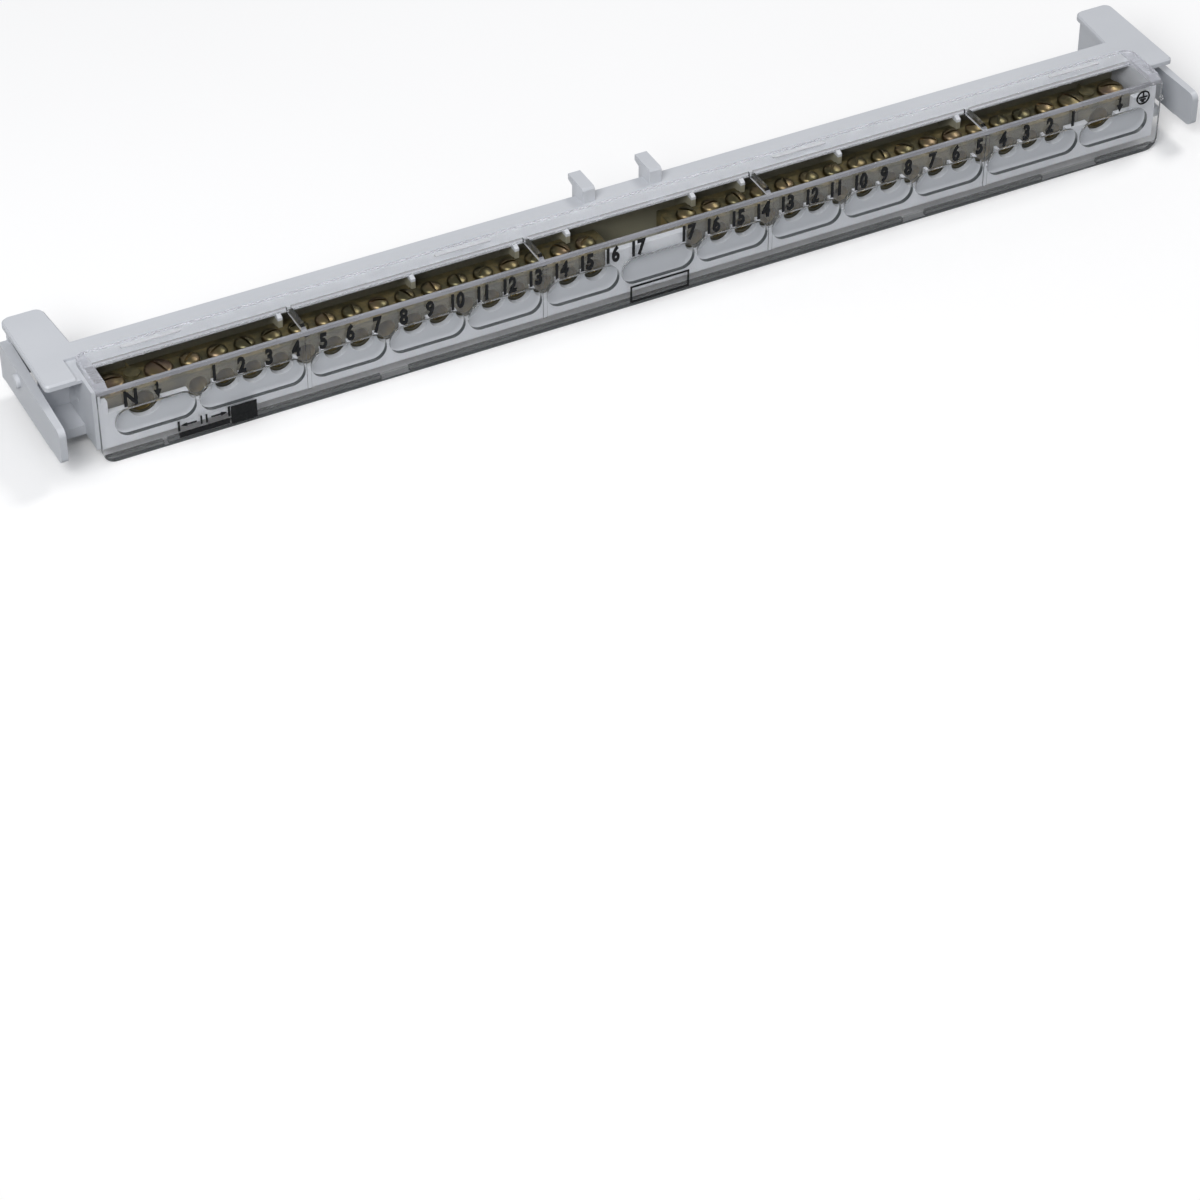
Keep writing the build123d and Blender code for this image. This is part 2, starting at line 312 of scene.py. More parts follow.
cover_low, cover_high = (np.array(corner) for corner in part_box("clear_cover"))
face_y = cover_low[1] + RIDGE_PROUD
cover_middle = cover_low[0] + COVER_HALF
cover_top = cover_high[2] - PAD_HEIGHT
print("cover's front at y =", round(face_y / MM, 2), "mm")
print("cover's top at z =", round(cover_top / MM, 2), "mm")

# %% [markdown]
# The clear cover isn't clear everywhere. The rim in front of the screwdriver slot, like the cover's two
# ends, was left rough in the tool and is hazy in streaks. The windows' cut faces get painted shade, a dark
# surface mixed in, and so does the lip at the foot, a little. Object coordinates alone find the rim and the
# lip. The windows' cut faces are the faces of the front wall that look neither to the front nor to the back,
# so the surface's own direction finds them.

# %% Where the cover is hazy, and where shade is painted on it
RIM_WIDTH, RIM_DEPTH, RIM_END = 1.7 * MM, 1.5 * MM, 2.6 * MM
HAZE_LEAST, HAZE_MOST = 0.20, 0.52
WINDOWS_BELOW_TOP = 2 * MM
SIDEWAYS = 0.5
LIP_SHADE_HEIGHT = 1.8 * MM
EDGE_SHADE, LIP_SHARE = 0.6, 0.6


def rim_haze(wiring, parts):
    """How hazy each place is: a streaky share at the front rim and at the ends, and 0 elsewhere."""
    front = wiring.with_number(parts, "Y", "LESS_THAN", face_y + RIM_WIDTH)
    left = wiring.with_number(parts, "X", "LESS_THAN", cover_middle - COVER_HALF + RIM_END)
    right = wiring.with_number(parts, "X", "GREATER_THAN", cover_middle + COVER_HALF - RIM_END)
    high = wiring.with_number(parts, "Z", "GREATER_THAN", cover_top - RIM_DEPTH)
    ends = wiring.combine("MAXIMUM", left, right)
    around = wiring.combine("MAXIMUM", front, ends)
    rim = wiring.combine("MULTIPLY", around, high)
    streaks = wiring.noise(350.0, detail=2.0, stretch=(0.25, 1.0, 1.0))
    amount = wiring.spread(streaks, "Fac", HAZE_LEAST, HAZE_MOST)
    return wiring.combine("MULTIPLY", rim, amount, "Result")


def edge_smoke(wiring, parts):
    """How much painted shade each place gets: the full amount on the windows' cut faces, a share of it on
    the lip, and 0 elsewhere.
    """
    facing = wiring.split("Normal")
    forwards = wiring.add("ShaderNodeMath", operation="ABSOLUTE")
    wiring.join(facing, "Y", forwards, 0)
    cut = wiring.with_number(forwards, "Value", "LESS_THAN", SIDEWAYS)
    in_wall = wiring.with_number(parts, "Y", "LESS_THAN", face_y + RIM_WIDTH)
    lower = wiring.with_number(parts, "Z", "LESS_THAN", cover_top - WINDOWS_BELOW_TOP)
    window_edge = wiring.combine("MULTIPLY", wiring.combine("MULTIPLY", cut, in_wall), lower)
    lip = wiring.with_number(parts, "Z", "LESS_THAN", cover_low[2] + LIP_SHADE_HEIGHT)
    lip_part = wiring.with_number(lip, "Value", "MULTIPLY", LIP_SHARE)
    either = wiring.combine("MAXIMUM", window_edge, lip_part)
    return wiring.spread(either, "Value", 0.0, EDGE_SHADE)


print("hazy above z =", round((cover_top - RIM_DEPTH) / MM, 2), "mm")

# %% [markdown]
# The cover itself is clear polycarbonate. A Principled shader with full transmission bends and mirrors light
# as the real wall does, and the wall's real thickness gives the dark and bright lines along its edges. Over
# it lie thin shares of three plain surfaces: satin at the rim, frosted on the raised pads, and a dark one as
# painted shade on the windows' cut faces and the lip. Rays that look for a lamp can't bend, so a clear solid
# would throw a black shadow inside. Here they pass straight through, dimmed, because bent light reaches the
# inside as well. At the lip almost nothing passes: its round toe bends light away and keeps the strip behind
# it in shadow.

# %% Clear moulded plastic
PAD_FOOT, PAD_FROST = 0.1 * MM, 0.5
LIP_HEIGHT = 3.2 * MM
LIP_PASSES, WALL_PASSES = (0.03, 0.03, 0.035), (0.54, 0.54, 0.54)


def lamp_light(wiring, parts):
    """What the rays that look for a lamp meet: a see-through surface that dims them, mostly at the lip."""
    above = wiring.with_number(parts, "Z", "GREATER_THAN", cover_low[2] + LIP_HEIGHT)
    passed = wiring.ramp(above, "Value", [(0.0, LIP_PASSES), (1.0, WALL_PASSES)])
    dimmed = wiring.add("ShaderNodeBsdfTransparent")
    wiring.join(passed, "Color", dimmed, "Color")
    return dimmed


def clear_plastic():
    wiring = Wiring("clear_moulded_plastic")
    wiring.fixed(Base_Color=(0.985, 0.988, 0.995, 1.0), Roughness=0.03, IOR=1.45, Transmission_Weight=1.0)
    waves = wiring.noise(160.0, detail=2.0)
    wiring.bump(waves, "Fac", strength=0.05, distance=0.05 * MM)

    parts = wiring.split("Object")
    satin = wiring.coat(colour=(0.55, 0.56, 0.61), roughness=0.25)
    frosted = wiring.coat(colour=(0.72, 0.73, 0.76), roughness=0.3)
    # a dark surface, mixed in as painted shade on the windows' cut faces and the lip
    shade_coat = wiring.coat(colour=(0.075, 0.085, 0.09), roughness=0.12)
    pad = wiring.with_number(parts, "Z", "GREATER_THAN", cover_top + PAD_FOOT)
    frost = wiring.with_number(pad, "Value", "MULTIPLY", PAD_FROST)
    with_rim = wiring.mixed(rim_haze(wiring, parts), "Value", wiring.shader, satin)
    with_pads = wiring.mixed(frost, "Value", with_rim, frosted)
    with_painted_shade = wiring.mixed(edge_smoke(wiring, parts), "Result", with_pads, shade_coat)

    rays = wiring.add("ShaderNodeLightPath")
    both = wiring.mixed(rays, "Is Shadow Ray", with_painted_shade, lamp_light(wiring, parts))
    wiring.join(both, "Shader", wiring.output, "Surface")
    return wiring.material


CLEAR = clear_plastic()
print("made", CLEAR.name)

# %% [markdown]
# The bars are drawn brass, which keeps faint streaks along its length and dulls to olive brown in the air.
# Long noise stretched along X gives the streaks, and broad noise the tarnish. The front face gets painted
# shade: it is made darker. The hole walls get a painted highlight, a lighter gold for the glint in the
# holes:
# they lie away from the front, the back and the top, and a mask on Object coordinates finds them there.

# %% Drawn brass
bar_low, bar_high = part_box("neutral_bar")
bar_front, bar_back = bar_low[1], bar_high[1]
BOSS_HEIGHT = 0.6 * MM
bar_top = bar_high[2] - BOSS_HEIGHT
SKIN, TOP_SKIN = 0.2 * MM, 0.5 * MM
FACE_SHADE_BRASS, FACE_SHADE_SHARE = (0.045, 0.048, 0.042), 0.65
HOLE_GLINT_BRASS = (0.30, 0.23, 0.10)
BRASS_TONES = [
    (0.30, (0.060, 0.058, 0.038)), (0.46, (0.115, 0.102, 0.054)),
    (0.58, (0.21, 0.17, 0.080)), (0.72, (0.105, 0.098, 0.068)),
]


def drawn_brass():
    wiring = Wiring("drawn_brass")
    tarnish = wiring.noise(210.0, detail=5.0, roughness=0.6)
    tone = wiring.ramp(tarnish, "Fac", BRASS_TONES)
    parts = wiring.split("Object")
    # painted shade: the front face is made darker
    face = wiring.with_number(parts, "Y", "LESS_THAN", bar_front + SKIN)
    face_shade = wiring.with_number(face, "Value", "MULTIPLY", FACE_SHADE_SHARE)
    shaded_face = wiring.tinted(tone, "Color", FACE_SHADE_BRASS, face_shade)
    # painted highlight: the hole walls are made a lighter gold
    within = wiring.between(parts, "Y", bar_front + SKIN, bar_back - SKIN)
    below = wiring.with_number(parts, "Z", "LESS_THAN", bar_top - TOP_SKIN)
    inside = wiring.combine("MULTIPLY", within, below)
    with_hole_glint = wiring.tinted(shaded_face, "Result", HOLE_GLINT_BRASS, inside)
    wiring.join(with_hole_glint, "Result", wiring.shader, "Base Color")
    streaks = wiring.noise(900.0, detail=3.0, stretch=(0.06, 1.0, 1.0))
    polish = wiring.spread(streaks, "Fac", 0.24, 0.46)
    wiring.join(polish, "Result", wiring.shader, "Roughness")
    wiring.bump(streaks, "Fac", strength=0.25, distance=0.02 * MM)
    wiring.fixed(Metallic=0.6)
    return wiring.material


BRASS = drawn_brass()
print("made", BRASS.name)

# %% [markdown]
# The screws are steel with a yellow passivated skin. That skin is so thin that it shimmers from olive over
# gold to a coppery brown, so the colour runs through those tones in patches about as wide as a head. The
# turned rings of the head are a sine of the distance to the screw's own axis. A shader can't know that axis,
# so the distance is kept on the mesh as an attribute.

# %% Passivated steel
RING_PITCH = 0.22 * MM
STEEL_TONES = [
    (0.25, (0.060, 0.062, 0.040)), (0.42, (0.11, 0.098, 0.054)), (0.55, (0.18, 0.14, 0.075)),
    (0.68, (0.17, 0.122, 0.088)), (0.82, (0.075, 0.074, 0.054)),
]


def passivated_steel():
    wiring = Wiring("passivated_steel")
    patches = wiring.noise(150.0, detail=3.0, roughness=0.6)
    tone = wiring.ramp(patches, "Fac", STEEL_TONES)
    wiring.join(tone, "Color", wiring.shader, "Base Color")
    wiring.fixed(Metallic=1.0)
    sheen = wiring.spread(patches, "Fac", 0.26, 0.44)
    wiring.join(sheen, "Result", wiring.shader, "Roughness")
    axis_distance = wiring.add("ShaderNodeAttribute", attribute_name="from_axis")
    turns = wiring.with_number(axis_distance, "Fac", "MULTIPLY", 2 * math.pi / RING_PITCH)
    rings = wiring.add("ShaderNodeMath", operation="SINE")
    wiring.join(turns, "Value", rings, 0)
    wiring.bump(rings, "Value", strength=0.25, distance=0.012 * MM)
    return wiring.material


STEEL = passivated_steel()
print("made", STEEL.name)

# %% [markdown]
# The print on the cover is a thick black ink with a smooth skin, which mirrors little light. A fine grain in
# tone and height keeps it from looking like a hole.

# %% Black print


def black_print():
    wiring = Wiring("black_print")
    grain = wiring.noise(2600.0, detail=2.0)
    tone = wiring.ramp(grain, "Fac", [(0.3, (0.006, 0.007, 0.008)), (0.7, (0.014, 0.015, 0.016))])
    wiring.join(tone, "Color", wiring.shader, "Base Color")
    wiring.bump(grain, "Fac", strength=0.2, distance=0.01 * MM)
    wiring.fixed(Roughness=0.2, IOR=1.45, Specular_IOR_Level=0.12)
    return wiring.material


PRINT = black_print()
print("made", PRINT.name)

# %% [markdown]
# A moulding has no knife edges: steel tools are polished at their corners, and the plastic shrinks back from
# them. The solids have only their larger rounds, so each moulding is copied, its loose triangles are merged
# back into whole flat faces, and a Bevel modifier rounds what is still sharp. Bright lines along the edges
# come from exactly that. The brass bars get the same treatment, with smaller rounds.

# %% Copies with rounded edges
WELD = 0.002 * MM
FLAT = math.radians(0.3)
SHARP = math.radians(28.0)


def flatten(work):
    """Merges neighbouring faces that lie in one plane, and turns all the faces outwards."""
    bmesh.ops.dissolve_limit(work, angle_limit=FLAT, verts=work.verts, edges=work.edges)
    bmesh.ops.recalc_face_normals(work, faces=work.faces)


def merged_copy(node, name):
    """A copy of a CAD node with its triangles merged back into whole flat faces."""
    work = bmesh.new()
    work.from_mesh(nodes[node].data)
    bmesh.ops.remove_doubles(work, verts=work.verts, dist=WELD)
    flatten(work)
    mesh = bpy.data.meshes.new(name)
    work.to_mesh(mesh)
    work.free()
    thing = new_object(name, mesh)
    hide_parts(node)
    return thing


def soften(thing, radius, segments):
    """Rounds the sharp edges of a copy."""
    thing.data.shade_smooth()
    thing.data.set_sharp_from_angle(angle=SHARP)
    bevel = thing.modifiers.new("moulded_edges", "BEVEL")
    bevel.width = radius
    bevel.segments = segments
    bevel.limit_method = "ANGLE"
    bevel.angle_limit = SHARP
    bevel.use_clamp_overlap = True
    bevel.harden_normals = True


# %% [markdown]
# A few faces of the real pieces lie some tenths of a millimetre, or a millimetre or two, away from those of
# the solids. A flat face can be moved without modelling it again: its points share one coordinate, so they
# are found by that level and set to another. Where a wall has to be cut or filled, a Boolean modifier works
# with a plain block, and its result is kept as the piece's new mesh.

# %% Levels and blocks
AT_LEVEL = 0.01 * MM
Y, Z = 1, 2


def shift_level(thing, axis, old, new):
    """Moves all the points that lie on one flat level of the mesh to another level."""
    points = mesh_points(thing.data)
    at_level = np.abs(points[:, axis] - old) < AT_LEVEL
    points[at_level, axis] = new
    thing.data.vertices.foreach_set("co", points.ravel())
    thing.data.update()
    print(thing.name, "points moved:", int(at_level.sum()))


def with_blocks(thing, blocks, operation):
    """Adds or cuts closed blocks, each given as (low corner, high corner), and keeps the result."""
    for low, high in blocks:
        cube = bmesh.new()
        bmesh.ops.create_cube(cube, size=1.0)
        size, middle = Vector(high) - Vector(low), (Vector(high) + Vector(low)) / 2
        bmesh.ops.scale(cube, verts=cube.verts, vec=size)
        bmesh.ops.translate(cube, verts=cube.verts, vec=middle)
        mesh = bpy.data.meshes.new("block")
        cube.to_mesh(mesh)
        cube.free()
        tool = new_object("block", mesh)
        joint = thing.modifiers.new("block", "BOOLEAN")
        joint.operation, joint.object, joint.solver = operation, tool, "EXACT"
        whole = worked_out(thing)
        thing.modifiers.remove(joint)
        thing.data = whole
        bpy.data.objects.remove(tool)
        bpy.data.meshes.remove(mesh)


# %% [markdown]
# The carrier is the grey moulding that holds everything. On the real one the floor lies a millimetre lower.
# The flange over the bars' rear edge is thinner and runs straight, where the solid's has round notches for
# the larger screws: a long block fills them. Beside the large terminals the front wall is cut down to the
# comb's height, so that a thick wire can pass.

# %% The carrier
FLOOR_BOTTOM, FLOOR_REAL_BOTTOM = -13.9 * MM, -15.0 * MM
FLANGE_EDGE, FLANGE_REAL_EDGE = -9.6 * MM, -9.1 * MM
FLANGE_LOW, FLANGE_REAL_LOW = -1.9 * MM, -1.2 * MM
FLANGE_TOP, FLANGE_REAL_TOP = -0.6 * MM, -0.64 * MM
FILLED_DEPTH = 2 * MM
COMB_TOP, WALL_TOP, CLEAR_ABOVE = -6.5 * MM, -3.5 * MM, 1 * MM
WALL_THICKNESS = 1.35 * MM
WALL_TO_BAR = 0.02 * MM
BARS_MIDDLE = -1.4 * MM
LARGE_FROM, LARGE_TO = 104.5 * MM, 122.0 * MM
CARRIER_ROUND = 0.14 * MM

carrier = merged_copy("carrier", "grey_carrier")
shift_level(carrier, Z, FLOOR_BOTTOM, FLOOR_REAL_BOTTOM)
shift_level(carrier, Z, FLANGE_LOW, FLANGE_REAL_LOW)
shift_level(carrier, Y, FLANGE_EDGE, FLANGE_REAL_EDGE)
shift_level(carrier, Z, FLANGE_TOP, FLANGE_REAL_TOP)
wall_front, wall_behind = face_y + WALL_THICKNESS, bar_front - WALL_TO_BAR
wall_parts = [
    ((BARS_MIDDLE + start, wall_front, COMB_TOP), (BARS_MIDDLE + end, wall_behind, WALL_TOP + CLEAR_ABOVE))
    for start, end in ((-LARGE_TO, -LARGE_FROM), (LARGE_FROM, LARGE_TO))
]
with_blocks(carrier, wall_parts, "DIFFERENCE")
flange_low = (-TROUGH_HALF, FLANGE_REAL_EDGE, FLANGE_REAL_LOW)
flange_high = (TROUGH_HALF, FLANGE_REAL_EDGE + FILLED_DEPTH, FLANGE_REAL_TOP)
with_blocks(carrier, [(flange_low, flange_high)], "UNION")
soften(carrier, CARRIER_ROUND, segments=2)
finish_piece(carrier, GREY)
print("faces of the carrier:", len(carrier.data.polygons))

# %% [markdown]
# The cover's slot is wider at its rear than the solid's, its front wall is thinner, and its rim slopes down
# to the front. A Boolean modifier could cut that slope with a wedge, but it wants a perfectly closed mesh,
# and this one has places where moved faces touch. Cutting the mesh with a plane is safer: what lies above
# the plane goes, and the open outline is filled again.

# %% The clear cover
SLOT_BACK, SLOT_REAL_BACK = -11.5 * MM, -9.5 * MM
WALL_INSIDE, WALL_REAL_INSIDE = -17.4 * MM, -17.8 * MM
SLOPE_START, SLOPE = -16.4 * MM, 0.6
COVER_ROUND = 0.16 * MM


def cut_slope(thing, start_y, start_z, slope):
    """Cuts off what lies above a plane, and closes the cut.

    The plane runs along X. Its height at y is start_z - slope * (start_y - y), so it falls to the front.
    """
    work = bmesh.new()
    work.from_mesh(thing.data)
    everything = work.verts[:] + work.edges[:] + work.faces[:]
    upwards = Vector((0.0, -slope, 1.0)).normalized()
    cut = bmesh.ops.bisect_plane(
        work, geom=everything, dist=SEAM, plane_co=(0.0, start_y, start_z), plane_no=upwards,
        clear_outer=True,
    )
    rim = [piece for piece in cut["geom_cut"] if isinstance(piece, bmesh.types.BMEdge)]
    bmesh.ops.triangle_fill(work, edges=rim, normal=upwards)
    flatten(work)
    print(thing.name, "open edges after the cut:", sum(edge.is_boundary for edge in work.edges))
    work.to_mesh(thing.data)
    work.free()


cover = merged_copy("clear_cover", "windowed_cover")
shift_level(cover, Y, SLOT_BACK, SLOT_REAL_BACK)
shift_level(cover, Y, WALL_INSIDE, WALL_REAL_INSIDE)
cut_slope(cover, SLOPE_START, cover_top, SLOPE)
soften(cover, COVER_ROUND, segments=3)
finish_piece(cover, CLEAR)
print("faces of the cover:", len(cover.data.polygons))

# %% [markdown]
# The two brass bars are drawn stock with sawn ends. They are a little deeper than the solids, so their back
# face moves, and then they are rounded like the mouldings.

# %% The brass bars
BAR_REAL_BACK = -7.4 * MM
BAR_ROUND = 0.12 * MM

for name in ("neutral_bar", "earth_bar"):
    bar = merged_copy(name, "drawn_" + name)
    shift_level(bar, Y, bar_back, BAR_REAL_BACK)
    soften(bar, BAR_ROUND, segments=2)
    finish_piece(bar, BRASS)

# %% [markdown]
# A screw's head is a low dome with a slot across it. The slot is what makes it hard as a surface: a plain
# turned grid would blur its edges. So the head is sliced into rows that run along the slot. A row is a
# closed path: up one side of the head, over the top, down the other side and back along the underside.
# Where the slot's wall stands, two rows share one place and differ only in height.

# %% Screw heads with a slot
GROOVE_PLACE, GROOVE_WIDTH = 0.62, 0.09
CLEAR_OF_SLOT = 1.2
SHARES = np.array([-1.0, -0.985, -0.95, -0.88, -0.76, -0.55, -0.28, 0.0])


def head_rows(radius, slot_width, count=13):
    """Distances of the rows from the slot's middle line, and whether each row lies in the slot.

    Row k is at radius * sin(a), with a spread evenly from -90 to 90 degrees, so that rows crowd at the rim.
    The rows inside the slot are dropped, and four rows at plus and minus half its width stand for its
    walls.
    """
    angles = np.linspace(-math.pi / 2, math.pi / 2, 2 * count + 1)
    across = radius * np.sin(angles)
    half = slot_width / 2
    outer = across[np.abs(across) > half * CLEAR_OF_SLOT]
    low, high = outer[outer < 0], outer[outer > 0]
    rows = np.concatenate([low, [-half, -half, half, half], high])
    sunk = np.concatenate([np.zeros(len(low)), [0, 1, 1, 0], np.zeros(len(high))])
    return rows, sunk.astype(bool)


def head_surface(radius, height, crown, rim, groove, slot_width, slot_depth):
    """Points and faces of a slotted head that stands on z = 0 around the z axis.

    A row's points lie at fixed shares of its reach, the half chord of the head's circle at that row.
    Top height at distance r: height - crown * (r / radius)^2 - the drop of a quarter round of radius rim
    at the edge - groove * exp(-((r / radius - 0.62) / 0.09)^2). In the slot it is height - slot_depth.
    """
    rows, sunk = head_rows(radius, slot_width)
    shares = np.concatenate([SHARES, -SHARES[-2::-1]])
    reach = np.sqrt(np.maximum(radius**2 - rows**2, 0.0))
    along = reach[:, None] * shares[None, :]
    across = np.repeat(rows[:, None], len(shares), axis=1)
    r = np.minimum(np.hypot(along, across), radius)
    over = np.clip(r - (radius - rim), 0.0, rim)
    drop = rim - np.sqrt(rim**2 - over**2)
    ring = groove * np.exp(-(((r / radius) - GROOVE_PLACE) / GROOVE_WIDTH) ** 2)
    top = height - crown * (r / radius) ** 2 - drop - ring
    top = np.where(sunk[:, None], np.minimum(top, height - slot_depth), top)
    foot = np.zeros((len(rows), 1))
    x = np.hstack([along[:, :1], along, along[:, -1:]])
    y = np.hstack([across[:, :1], across, across[:, -1:]])
    z = np.hstack([foot, top, foot])
    points = np.stack([x, y, z], axis=-1).reshape(-1, 3)
    return points, grid_faces(len(rows), x.shape[1])


# %% [markdown]
# Under the head is the thread. It is a grid too: rows of points go round the shank at rising heights, and
# each point's radius follows from how far the helix has climbed there. Hardly any of it shows, so 26 rows
# are enough.

# %% Screw threads


def thread_surface(radius, depth, thread_pitch, top, bottom, around=28, steps=26):
    """Points and faces of a threaded shank, closed at both ends.

    The radius at angle a and height z is radius - depth * |2 * fraction - 1|, where fraction is the part
    after the point of z / pitch - a / 360 degrees: a V that climbs one pitch in each turn.
    """
    angle = np.linspace(0.0, 2 * math.pi, around, endpoint=False)
    height = np.linspace(bottom, top, steps)
    climb = np.mod(height[:, None] / thread_pitch - angle[None, :] / (2 * math.pi), 1.0)
    r = radius - depth * np.abs(2 * climb - 1)
    r[0] = radius - depth
    r = np.vstack([np.zeros(around), r, np.zeros(around)])
    z = np.concatenate([[bottom], height, [top]])[:, None] + np.zeros(around)
    points = np.stack([r * np.cos(angle), r * np.sin(angle), z], axis=-1).reshape(-1, 3)
    return points, grid_faces(len(z), around)


# %% [markdown]
# Each screw takes its place from its own solid, so a head always stands where the CAD says. The slots of
# real screws stop at any angle, so a seeded generator turns each screw by an angle of its own. The four
# screws of the large terminals have a larger head with a turned groove.

# %% All 36 screws
HEAD_HEIGHT, CROWN, RIM = 1.7 * MM, 0.75 * MM, 0.4 * MM
SLOT_WIDTH, SLOT_DEPTH = 0.6 * MM, 0.6 * MM
LARGE_HEAD, LARGE_GROOVE = 2.6 * MM, 0.16 * MM
LARGE_SHANK, SMALL_SHANK = 1.9 * MM, 1.6 * MM
THREAD_PITCH, THREAD_DEPTH = 0.7 * MM, 0.25 * MM
SHANK_IN_HEAD = 0.3 * MM
SCREW_SEAM = 0.001 * MM
SHARP_ON_HEAD = math.radians(40)

turner = np.random.default_rng(7)


def place_screw(node):
    """Builds the screw that replaces one CAD screw, around that screw's own axis."""
    low, high = (np.array(corner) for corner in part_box(node))
    middle = (low + high) / 2
    radius = (high[0] - low[0]) / 2
    is_large = radius > LARGE_HEAD
    foot = high[2] - HEAD_HEIGHT
    groove = LARGE_GROOVE if is_large else 0.0
    head, head_faces = head_surface(radius, HEAD_HEIGHT, CROWN, RIM, groove, SLOT_WIDTH, SLOT_DEPTH)
    shank_radius = LARGE_SHANK if is_large else SMALL_SHANK
    shank, shank_faces = thread_surface(
        shank_radius, THREAD_DEPTH, THREAD_PITCH, SHANK_IN_HEAD, low[2] - foot,
    )
    points = np.vstack([head, shank])
    distance = np.hypot(points[:, 0], points[:, 1])
    turn = turner.uniform(0.0, math.pi)
    x = points[:, 0] * math.cos(turn) - points[:, 1] * math.sin(turn)
    y = points[:, 0] * math.sin(turn) + points[:, 1] * math.cos(turn)
    placed = np.stack([x + middle[0], y + middle[1], points[:, 2] + foot], axis=-1)
    faces = np.vstack([head_faces, shank_faces + len(head)])
    screw = mesh_object("turned_" + node, placed, faces)
    attribute = screw.data.attributes.new("from_axis", "FLOAT", "POINT")
    attribute.data.foreach_set("value", distance.astype(np.float32))
    merge(screw, SCREW_SEAM)
    screw.data.shade_smooth()
    screw.data.set_sharp_from_angle(angle=SHARP_ON_HEAD)
    finish_piece(screw, STEEL)
    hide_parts(node)
    return screw


screws = [place_screw(name) for name in sorted(nodes) if "screw" in name]
print("screws:", len(screws), "faces each about", len(screws[0].data.polygons))

# %% [markdown]
# The print stands a fifth of a millimetre proud of the cover's front. Bars, arrows and frames are flat
# outlines given a thickness. All of them are worked out in the plane of the cover's face: across is X, up
# is Z, and the thickness goes towards -Y. The back of the print is sunk a little into the cover, so that no
# two faces lie in one plane.

# %% Flat print
PRINT_PROUD, PRINT_SUNK = 0.20 * MM, 0.02 * MM


def print_outline(points):
    """Points and faces of a flat outline of (across, up) points, given the print's thickness."""
    flat = np.asarray(points, dtype=float)
    count = len(flat)
    front = np.column_stack([flat[:, 0], np.full(count, face_y - PRINT_PROUD), flat[:, 1]])
    back = np.column_stack([flat[:, 0], np.full(count, face_y + PRINT_SUNK), flat[:, 1]])
    i = np.arange(count)
    after = (i + 1) % count
    sides = np.stack([i, i + count, after + count, after], axis=-1).tolist()
    return np.vstack([front, back]), [i.tolist(), (i[::-1] + count).tolist()] + sides


def print_bar(left, right, low, high):
    """An upright rectangle of print."""
    return print_outline([(left, low), (right, low), (right, high), (left, high)])


def print_ring(across, up, outer, inner, count=48):
    """A flat ring: two circles joined front and back, each a row of a closed grid."""
    angle = np.linspace(0.0, 2 * math.pi, count, endpoint=False)
    rows = [(outer, -PRINT_PROUD), (outer, PRINT_SUNK), (inner, PRINT_SUNK), (inner, -PRINT_PROUD)]
    rows.append(rows[0])
    points = [
        np.column_stack([across + r * np.cos(angle), np.full(count, face_y + y), up + r * np.sin(angle)])
        for r, y in rows
    ]
    return np.vstack(points), grid_faces(len(rows), count).tolist()


def joined(name, pieces):
    """One object from several (points, faces) pairs, finished as black print."""
    points, faces, start = [], [], 0
    for some_points, some_faces in pieces:
        points.append(some_points)
        faces += [[int(corner) + start for corner in face] for face in some_faces]
        start += len(some_points)
    thing = mesh_object(name, np.vstack(points), faces)
    merge(thing)
    finish_piece(thing, PRINT)
    print(name, "faces:", len(thing.data.polygons))


# %% [markdown]
# Numerals are text objects turned into meshes, squeezed to the narrow technical hand that such parts use and
# made a little heavier. Blender sets the size of a text by its line and not by its figures: a nought comes
# out 0.729 as high as the size says. So the size is the wanted height divided by that.

# %% Numerals
NARROW = 0.70
NOUGHT_SHARE = 0.729
EM_OF_HEIGHT = 1 / NOUGHT_SHARE
HEAVIER = 0.022
ROUNDED_EDGE = 0.03


def word(text, height, across, up, narrow=NARROW, heavier=HEAVIER):
    """Points and faces of a printed word, centred at (across, up). heavier is a share of its height."""
    curve = bpy.data.curves.new("word", "FONT")
    curve.body = text
    curve.size = height * EM_OF_HEIGHT
    curve.align_x = "CENTER"
    curve.offset = heavier * height
    curve.extrude = (PRINT_PROUD + PRINT_SUNK) / 2
    curve.bevel_depth = ROUNDED_EDGE * height
    curve.bevel_resolution = 1
    curve.resolution_u = 4
    holder = new_object("word", curve)
    mesh = worked_out(holder)
    flat = mesh_points(mesh)
    faces = [list(polygon.vertices) for polygon in mesh.polygons]
    bpy.data.objects.remove(holder)
    bpy.data.meshes.remove(mesh)
    bpy.data.curves.remove(curve)
    depth = flat[:, 2] - flat[:, 2].max()
    points = np.column_stack([
        across + flat[:, 0] * narrow,
        face_y - PRINT_PROUD - depth,
        up + flat[:, 1] - height / 2,
    ])
    return points, faces


NUMERAL_PITCH = 6.02 * MM
NUMERAL_HEIGHT = 3.75 * MM
NUMERALS_MIDDLE = cover_middle + 0.83 * MM
NUMERALS_UP = cover_top - 3.8 * MM
HIGHEST = 17

for side, name in ((-1, "left_numerals"), (1, "right_numerals")):
    words = [
        word(str(k), NUMERAL_HEIGHT, NUMERALS_MIDDLE + side * NUMERAL_PITCH * (HIGHEST + 1 - k), NUMERALS_UP)
        for k in range(1, HIGHEST + 1)
    ]
    joined(name, words)

# %% [markdown]
# Beside the numerals stand an N for the neutral row, the earth sign for the earth row, and at each large
# terminal an arrow with a short flag that points down to its hole. The earth sign is a ring round an upright
# and three bars that grow shorter downwards.

